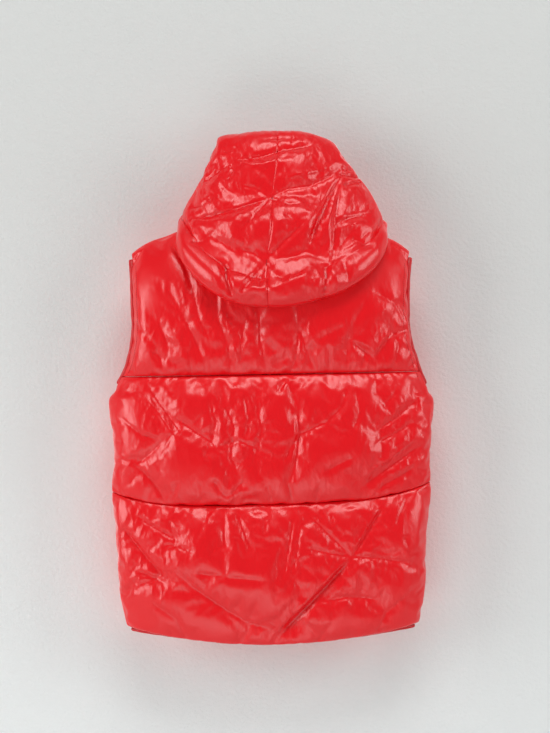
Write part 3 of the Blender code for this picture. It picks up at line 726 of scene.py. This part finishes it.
hoodHalf = {
    "columns": 66, "rows": 96, "crown": 15, "foldSide": -1, "slack": 0.03, "pressure": 3.5, "frames": 16,
    "bending": 0.1, "cap": 4, "foldFirst": 0.6, "foldLast": 0.42, "sideLoft": 5.5, "sag": 13, "leftSag": 7,
}
hoodFolds = [
    ((7, 10, 3), (-16, -114), (-52, -125), (-81, -134), (-110, -142), (-140, -146)),
    ((7, 10, 3), (-16, -114), (11, -99), (49, -93), (78, -79), (98, -64)),
    ((9, -5), (4, -82), (46, -73), (80, -62)), ((6, 8, 3), (-76, -50), (-35, -47), (5, -34), (52, -26)),
    ((7, -4), (-60, -60), (-30, -60), (2, -50)), ((6, 7, 3), (-128, -87), (-104, -70), (-82, -56)),
    ((5, 5), (-82, -56), (-76, -66), (-84, -84)),
    ((8, 14, 4, -0.4), (95, -84), (82, -108), (70, -134), (60, -158), (49, -194)),
    ((6, 8, 3), (99, -92), (92, -134), (89, -174), (86, -222)),
    ((6, 7, 3), (92, -154), (116, -146), (142, -138)), ((5, 8, 3), (96, -72), (116, -74), (132, -76)),
    ((5, 6), (104, -92), (122, -86), (136, -84)), ((5, 5), (100, -60), (112, -66), (122, -62)),
    ((6, 11, 3, 0.5), (-87, -222), (-84, -250), (-76, -277)),
    ((6, 8, 3), (-23, -219), (-49, -252), (-70, -273)), ((5, 7, 3), (-23, -219), (-35, -264)),
    ((6, 9, 3), (-23, -219), (5, -188), (26, -169), (43, -151)),
    ((5, 6), (-23, -219), (-44, -204), (-62, -200)), ((5, 6), (-23, -219), (-6, -240), (14, -252)),
    ((6, 11, 3), (75, -222), (73, -261), (69, -281)), ((6, -5), (82, -226), (92, -261)),
    ((6, 6), (100, -214), (110, -236), (112, -252)),
    ((8, -5), (-66, -262), (-9, -262), (34, -244), (66, -218)), ((5, 6), (-16, -114), (-40, -98), (-62, -94)),
    ((6, 6, 2), (-16, -114), (-42, -142), (-60, -170)), ((5, 6), (-16, -114), (14, -124), (36, -124)),
    ((6, 5), (-110, -110), (-128, -126), (-146, -128)), ((7, 5), (-100, -166), (-126, -184), (-150, -186)),
    ((5, 5), (20, -212), (42, -200), (52, -206)), ((5, 5), (8, -140), (22, -148), (30, -160)),
    ((6, 4), (-30, -18), (2, -14), (34, -14)), ((5, 4), (-92, -36), (-70, -30)),
    ((7, 5), (118, -178), (138, -190), (158, -190)),
]
for hand in ("left", "right"):
    look = dict(hoodHalf, name="hood" + hand.capitalize(), folds=creases(hoodFolds))
    look["outward"] = (-1 if hand == "left" else 1, 0, 0)
    share, along = gridShares(look["columns"], look["rows"])
    inner = hoodInner(hand, share, along)
    sag = look["sag"] + (look["leftSag"] * np.clip((share - 0.35) / 0.15, 0, 1) if hand == "left" else 0)
    inner[:, 2] -= sag * np.exp(-(((along - 0.24) / 0.11) ** 2)) * np.clip((0.95 - share) / 0.3, 0, 1)
    lobes = np.maximum(hoodAt("loft", along), 0) / 16
    sideways = np.clip((share - 0.12) / 0.3, 0, 1)
    sideways = sideways * sideways * (3 - 2 * sideways)
    fill = lobes * (1 - sideways) + np.minimum(puff(along, 0.3), 1) * look["sideLoft"] / 16 * sideways
    fill *= np.where(share < 0.5, 0.72 + 0.28 * puff(share, 0.5), puff(0.985 * easeEnds(share), 0.4))
    fill[(share > 0.999) | (along < 0.001) | (along > 0.999)] = 0
    look["pinned"] = share < 0.001
    look["straight"] = np.clip(share / 0.12, 0, 1)
    half = paddedPiece(look, inner, fill)
    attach(half, "vest")
    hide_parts("hood_" + hand)
    shellPieces["hood" + hand.capitalize()].append(half)
    print("hood half", hand, "made")


# bound edges: a strip folded over the edge, open towards the cloth it holds

def foldedBand(look, path, inward):
    # path runs along the strip's middle, and inward points from it towards the cloth
    if look["closed"]:
        along = np.roll(path, -1, axis=0) - np.roll(path, 1, axis=0)
    else:
        along = np.gradient(path, axis=0)
    along /= np.linalg.norm(along, axis=1, keepdims=True)
    inward = inward - along * (inward * along).sum(axis=1, keepdims=True)
    inward /= np.linalg.norm(inward, axis=1, keepdims=True)
    across = np.cross(along, inward)
    turns = np.radians(np.linspace(42, 318, look["columns"] + 1))
    run = runAlong(path)
    waves = np.sin(run / 6.3) + 0.8 * np.sin(run / 3.7 + 1.3) + 0.7 * np.sin(run / 11.9 + 0.4)
    swell = (1 + look["uneven"] * waves)[:, None, None]
    shape = inward[:, None, :] * np.cos(turns)[None, :, None] * look["deep"] * swell
    shape = shape + across[:, None, :] * np.sin(turns)[None, :, None] * look["wide"] * swell
    points = path[:, None, :] + shape
    if look["closed"]:
        points = np.concatenate([points, points[:1]])
    band, order = layGrid(look["name"], points.reshape(-1, 3), look["columns"], len(points) - 1)
    if look["closed"]:
        mergePoints(0.0001)
    centres = np.array([face.center[:] for face in band.data.polygons]) / mm
    near = np.argmin(np.linalg.norm(centres[:, None, :] - path[None, :, :], axis=2), axis=1)
    faceOut(band.data, centres - path[near])
    modify(band, "SOLIDIFY", thickness=look["thick"] * mm, offset=-1)
    modify(band, "SUBSURF", levels=1)
    bpy.ops.object.shade_smooth()
    dress(band, bindingNylon)
    return band


armholeBand = {"columns": 10, "wide": 2.8, "deep": 4.3, "thick": 0.9, "uneven": 0.045, "closed": True}
for hand, sign in vest["inward"].items():
    tip = tipHeight(hand)
    legs = []
    for side in (-1, 1):
        z = np.linspace(tip - 4, vest["armhole"] + 5, 60)
        y = 0.15 + bodyAt("gape", z) + 1.6
        y = np.maximum(y * np.minimum((tip - z) / 12, 1), 3.4) * side
        leg = np.stack([bodyAt(hand, z) + sign * 4.0, y, z], axis=1)
        legs.append(leg if side < 0 else leg[::-1])
    path = evenly(np.concatenate([legs[0], legs[1], legs[0][:1]]), 2.6)[:-1]
    inward = np.zeros_like(path)
    inward[:, 0] = sign
    inward[path[:, 2] < vest["armhole"] + 12, 2] = -0.6
    look = dict(armholeBand, name="armholeBand" + hand.capitalize())
    band = foldedBand(look, path, inward)
    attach(band, "vest")
    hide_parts("armhole_binding_" + hand)
print("armhole bands made")

hemBand = {
    "name": "hemBand", "columns": 10, "wide": 2.8, "deep": 3.0, "thick": 0.9, "uneven": 0.04, "closed": False,
    "height": -840, "inset": 1.4, "below": 3.3, "tuck": 2.4,
}
left = float(bodyAt("left", hemBand["height"])) + hemBand["inset"]
right = float(bodyAt("right", hemBand["height"])) - hemBand["inset"]
middle, half = (left + right) / 2, (right - left) / 2
first = math.asin((vest["centre"] + vest["zipHalf"] - middle) / half)
last = 2 * math.pi + math.asin((vest["centre"] - vest["zipHalf"] - middle) / half)
angle = np.linspace(first, last, 400)
x = middle + half * np.sin(angle)
depths = [bodyAt(side, hemBand["height"] + 0 * x) for side in ("front", "back")]
depth = np.where(np.cos(angle) > 0, *depths) + 1
y = np.sign(np.cos(angle)) * depth * np.abs(np.cos(angle)) ** 0.7
tucked = hemBand["tuck"] * np.clip(-np.cos(angle) * 1.6, 0, 1)
path = evenly(np.stack([x, y, seamHeight(3, x) - hemBand["below"] + tucked], axis=1), 2.8)
inward = np.zeros_like(path)
inward[:, 2] = 1
band = foldedBand(hemBand, path, inward)
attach(band, "vest")
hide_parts("hem_binding")
print("hem band made")


# the zip: two tapes, moulded teeth, with the slider, pull and box as they are

def zipDepth(z):
    z = np.maximum(z, seamHeight(3, np.asarray(vest["centre"])))
    return skinDepth(np.full_like(z, vest["centre"]), z, 1, vest["frontDrop"], 0 * z)


zipLook = {
    "top": float(topHeight(np.asarray(vest["centre"]), vest["frontDrop"])) - 2, "bottom": -844.5, "rows": 220,
    "inner": 2.7, "outer": 15.5, "under": 2.0, "tapeThick": 0.8,
    "toothPitch": 2.5, "toothSize": (2.9, 2.3, 1.5), "toothOff": 1.1, "toothStand": 0.55, "stitchOff": 11.5,
}
for hand, sign in (("left", -1), ("right", 1)):
    columns, rows = 8, zipLook["rows"]
    u, v = gridShares(columns, rows)
    z = zipLook["bottom"] + (zipLook["top"] - zipLook["bottom"]) * v
    off = zipLook["inner"] + (zipLook["outer"] - zipLook["inner"]) * u
    tuck = np.clip((off - 5.4) / 2.2, 0, 1)
    ripple = 0.25 * np.sin(z / 9.0 + sign) * (1 - tuck)
    y = zipDepth(z) + 0.6 + ripple - zipLook["under"] * tuck
    points = np.stack([vest["centre"] + sign * off, y, z], axis=1)
    tape, order = layGrid("zipTape" + hand.capitalize(), points, columns, rows)
    faceOut(tape.data, (0, 1, 0))
    modify(tape, "SOLIDIFY", thickness=zipLook["tapeThick"] * mm, offset=-1)
    bpy.ops.object.shade_smooth()
    dress(tape, tapeCloth)
    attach(tape, "vest")
    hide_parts("zip_tape_" + hand)

toothRows = []
for hand, sign in (("left", -1), ("right", 1)):
    deselectAll()
    bpy.ops.mesh.primitive_cube_add(size=1, location=(0, 0, 0))
    teeth = bpy.context.object
    teeth.name = teeth.data.name = "zipTeeth" + hand.capitalize()
    corners = readPoints(teeth.data) * mm * np.array(zipLook["toothSize"])
    corners[:, 0] += vest["centre"] + sign * zipLook["toothOff"]
    corners[:, 2] += zipLook["bottom"] + 6 + (zipLook["toothPitch"] / 2 if sign > 0 else 0)
    writePoints(teeth.data, corners)
    modify(teeth, "BEVEL", width=0.35 * mm, segments=2)
    count = int((zipLook["top"] - zipLook["bottom"] - 10) / zipLook["toothPitch"])
    modify(teeth, "ARRAY", count=count, use_relative_offset=False, use_constant_offset=True,
           constant_offset_displace=(0, 0, zipLook["toothPitch"] * mm))
    points = readPoints(teeth.data)
    points[:, 1] += zipDepth(points[:, 2]) + zipLook["toothStand"]
    writePoints(teeth.data, points)
    bpy.ops.object.shade_smooth_by_angle(angle=math.radians(40))
    dress(teeth, toothPlastic)
    toothRows.append(teeth)
deselectAll()
for teeth in toothRows:
    teeth.select_set(True)
bpy.context.view_layer.objects.active = toothRows[0]
bpy.ops.object.join()
zipTeeth = bpy.context.object
zipTeeth.name = zipTeeth.data.name = "zipTeeth"
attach(zipTeeth, "vest")
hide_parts("zip_chain")
for name, made in (("zip_slider", pullMetal), ("zip_pull", pullMetal), ("zip_box", toothPlastic)):
    node = bpy.data.objects[name]
    for holder in [node, *node.children_recursive]:
        if holder.type == "MESH":
            dress(holder, made)
print("zip made")


# stitches: one stitch repeated along a path and bent to it, laid on the cloth that it holds

def clothTree(pieces):
    corners, faces = [], []
    for piece in pieces:
        shift = len(corners)
        corners += [point[:] for point in readPoints(piece.data)]
        faces += [tuple(shift + corner for corner in face.vertices) for face in piece.data.polygons]
    return BVHTree.FromPolygons(corners, faces)


def stitchRow(name, path, look):
    deselectAll()
    guide = polyCurve(name + "Line", path)
    bpy.ops.mesh.primitive_cylinder_add(
        vertices=6, radius=look["thick"] / 2 * mm, depth=look["long"] * mm,
        rotation=(0, math.pi / 2, 0), location=(0, 0, 0),
    )
    row = bpy.context.object
    row.name = row.data.name = name
    bpy.ops.object.transform_apply(location=False, rotation=True, scale=False)
    modify(row, "BEVEL", width=look["thick"] * 0.25 * mm, segments=1)
    modify(row, "ARRAY", fit_type="FIT_CURVE", curve=guide, use_relative_offset=False,
           use_constant_offset=True, constant_offset_displace=(look["pitch"] * mm, 0, 0))
    modify(row, "CURVE", object=guide)
    bpy.data.objects.remove(guide)
    dress(row, threadRed)
    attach(row, "vest")


def laidOn(tree, starts, way, proud):
    # where rays from the starts meet the cloth, and a little proud of it
    hits = [tree.ray_cast(Vector(start), Vector(way))[0] for start in starts]
    return [hit + Vector(proud) * stitchLook["proud"] for hit in hits if hit]


stitchLook = {"thick": 0.7, "long": 2.7, "pitch": 3.7, "proud": 0.1}
backTree, frontTree = clothTree(shellPieces["back"]), clothTree(shellPieces["front"])
armholeRows = {"inset": 12.0, "from": 14.0, "to": -404.0}
for hand, sign in vest["inward"].items():
    for side, tree in (("Back", backTree), ("Front", frontTree)):
        out = -1 if side == "Back" else 1
        heights = np.linspace(tipHeight(hand) - armholeRows["from"], armholeRows["to"], 90)
        starts = [(float(bodyAt(hand, z)) + sign * armholeRows["inset"], out * 200, z) for z in heights]
        name = "armholeStitches" + side + hand.capitalize()
        stitchRow(name, laidOn(tree, starts, (0, -out, 0), (0, out, 0)), stitchLook)
for hand, sign in (("Left", -1), ("Right", 1)):
    heights = np.linspace(zipLook["bottom"] + 12, zipLook["top"] - 10, 160)
    starts = [(vest["centre"] + sign * zipLook["stitchOff"], 200, z) for z in heights]
    stitchRow("zipStitches" + hand, laidOn(frontTree, starts, (0, -1, 0), (0, 1, 0)), stitchLook)
for hand in ("left", "right"):
    tree = clothTree(shellPieces["hood" + hand.capitalize()])
    along = np.linspace(0.1, 0.985, 120)
    edge = hoodInner(hand, 0 * along + 1, along)
    away = edge - hoodInner(hand, 0 * along + 0.9, along)
    away /= np.linalg.norm(away, axis=1, keepdims=True)
    out = Vector((-vest["inward"][hand], 0, 0.35)).normalized()
    starts = [Vector(point - toEdge * 12) + out * 60 for point, toEdge in zip(edge, away)]
    stitchRow("hoodEdgeStitches" + hand.capitalize(), laidOn(tree, starts, -out, (out.x, 0, 0)), stitchLook)
print("stitches made")


# the hanger: one bent wire, wound round its own neck

wireLook = {
    "thick": 3.6, "hook": 19.7, "hookFrom": -48, "hookTo": 205, "reach": 190.0, "bar": 12.0, "turns": 3.5,
}


def wirePath():
    turn = np.radians(np.linspace(wireLook["hookTo"], wireLook["hookFrom"], 60))
    centre = wireLook["thick"] / 2 - wireLook["hook"]
    route = [(wireLook["hook"] * math.cos(a), 0, centre + wireLook["hook"] * math.sin(a)) for a in turn]
    route += [(7.2, 0, -38), (2.6, 0, -44), (0, 0, -52), (0, 0, -88), (0.6, 0, -97), (5, 0, -104.5)]
    reach = wireLook["reach"]
    heights = {hand: float(armHeight(np.asarray(hand * reach))) for hand in (-1, 1)}
    route += [(x, 0, float(armHeight(np.asarray(float(x))))) for x in (20, 60, 110, 160, reach - 6)]
    for hand in (1, -1):
        end, low = heights[hand], heights[hand] - wireLook["bar"]
        bend = [(reach, end - 1), (reach + 4, end - 5), (reach + 3, end - 10)]
        bend += [(reach - 3, low - 1), (reach - 12, low - 2)]
        route += [(hand * x, 0, z) for x, z in bend[::hand]]
        if hand > 0:
            for x, share in ((60, 2 / 3), (-60, 1 / 3)):
                level = share * heights[1] + (1 - share) * heights[-1] - wireLook["bar"] - 2
                route.append((x, 0, level))
    route += [(x, 0, float(armHeight(np.asarray(float(x))))) for x in (-(reach - 6), -160, -110, -60, -20)]
    route.append((-9, -0.6, float(armHeight(np.asarray(-9.0))) + 1))
    coil = wireLook["thick"] + 0.6
    for step in range(67):
        a = math.radians(200 + 360 * wireLook["turns"] * step / 66)
        height = -99.5 + (wireLook["thick"] + 0.5) * wireLook["turns"] * step / 66
        route.append((coil * math.cos(a), coil * math.sin(a), height))
    fine = evenly(route, 0.8)
    padding = np.concatenate([np.repeat(fine[:1], 2, axis=0), fine, np.repeat(fine[-1:], 2, axis=0)])
    even = np.ones(5) / 5
    return np.stack([np.convolve(padding[:, axis], even, mode="valid") for axis in range(3)], axis=1)[::2]


hangerWire = polyCurve("hangerWire", wirePath())
hangerWire.data.bevel_depth = wireLook["thick"] / 2 * mm
hangerWire.data.bevel_resolution = 3
hangerWire.data.use_fill_caps = True
makeActive(hangerWire)
bpy.ops.object.convert(target="MESH")
hangerWire = bpy.context.object
mergePoints(0.00001, outward=True)
bpy.ops.object.shade_smooth_by_angle(angle=math.radians(50))
dress(hangerWire, wireCoat)
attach(hangerWire, "vest")
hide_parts("hanger")
print("hanger made")


# wall, floor, lights and camera

# the low wall colour is painted light: paler than the wall's own colour, to make up for the weaker light low
# on the wall
room = {"wallY": 0.085, "wallColour": (0.69, 0.705, 0.69), "wallPaintedLightLow": (0.84, 0.87, 0.865), "floorZ": -1.3}


def stageSurface(name, colour, height):
    # pale plaster, seen only from its front
    made = plainMaterial(name, colour, 0.85, (("noise", 160, height, 4), ("noise", 620, height * 0.4, 2)))
    nodes = made.node_tree.nodes
    back = addNode(made, "NewGeometry").outputs["Backfacing"]
    clear = addNode(made, "BsdfTransparent").outputs[0]
    either = addNode(made, "MixShader", None, {0: back, 1: nodes["Principled BSDF"].outputs[0], 2: clear})
    made.node_tree.links.new(either.outputs[0], nodes["Material Output"].inputs[0])
    return made


deselectAll()
bpy.ops.mesh.primitive_plane_add(size=6, location=(0, room["wallY"], -0.5), rotation=(math.pi / 2, 0, 0))
wall = bpy.context.object
wall.name = "plasterWall"
wallPlaster = stageSurface("wallPlaster", room["wallColour"], 1.2)
# painted light: the wall's colour turns paler towards its bottom, making up for the weaker light that falls
# there
axes = addNode(wallPlaster, "SeparateXYZ", None, {0: addNode(wallPlaster, "TexCoord").outputs["Object"]})
heights = {"From Min": 0.45, "From Max": -0.5}
downward = addNode(wallPlaster, "MapRange", heights, {"Value": axes.outputs["Y"]})
paintedLightShades = addNode(wallPlaster, "Mix", {6: (*room["wallColour"], 1), 7: (*room["wallPaintedLightLow"], 1)},
                 {0: downward.outputs[0]}, data_type="RGBA")
wallShader = wallPlaster.node_tree.nodes["Principled BSDF"]
wallPlaster.node_tree.links.new(paintedLightShades.outputs[2], wallShader.inputs["Base Color"])
wall.data.materials.append(wallPlaster)
wall.visible_shadow = False
bpy.ops.mesh.primitive_plane_add(size=6, location=(0, 0, room["floorZ"]))
floor = bpy.context.object
floor.name = "paleFloor"
floor.data.materials.append(stageSurface("floorPlaster", (0.6, 0.6, 0.59), 0.5))
floor.visible_shadow = False

cameraLook = {"away": 2.6, "lens": 76.8, "aim": (-0.0074, -0.387)}
camera = bpy.data.cameras.new("camera")
cameraObject = bpy.data.objects.new("camera", camera)
bpy.context.scene.collection.objects.link(cameraObject)
bpy.context.scene.camera = cameraObject
camera.sensor_fit = "VERTICAL"
camera.sensor_height = 36
camera.lens = cameraLook["lens"]
cameraObject.location = (cameraLook["aim"][0], -cameraLook["away"], cameraLook["aim"][1])
cameraObject.rotation_euler = (math.pi / 2, 0, 0)

lights = (
    {"name": "skyLight", "at": (0.1, -1.5, 1.7), "size": (1.7, 0.9), "power": 28},
    {"name": "leftLight", "at": (-2.1, -1.3, -0.2), "size": (1.0, 1.5), "power": 26},
    {"name": "rightLight", "at": (2.1, -1.2, 0.1), "size": (0.9, 1.4), "power": 19},
    {"name": "lowLight", "at": (-0.3, -1.7, -1.9), "size": (1.7, 0.7), "power": 9},
    {"name": "farLight", "at": (0.8, 2.4, 0.9), "size": (1.6, 1.2), "power": 30},
    {"name": "farLowLight", "at": (-1.2, 2.0, -1.0), "size": (1.2, 1.0), "power": 18},
)
for light in lights:
    lamp = bpy.data.lights.new(light["name"], "AREA")
    lamp.shape = "RECTANGLE"
    lamp.size, lamp.size_y = light["size"]
    lamp.energy = light["power"]
    holder = bpy.data.objects.new(light["name"], lamp)
    bpy.context.scene.collection.objects.link(holder)
    holder.location = light["at"]
    aim = Vector((0, 0, -0.42)) - Vector(light["at"])
    holder.rotation_euler = aim.to_track_quat("-Z", "Y").to_euler()

bpy.context.scene.view_settings.view_transform = "Standard"
world = bpy.data.worlds.new("room")
bpy.context.scene.world = world
world.use_nodes = True
background = world.node_tree.nodes["Background"]
background.inputs["Color"].default_value = (0.95, 0.97, 1.0, 1)
background.inputs["Strength"].default_value = 0.1
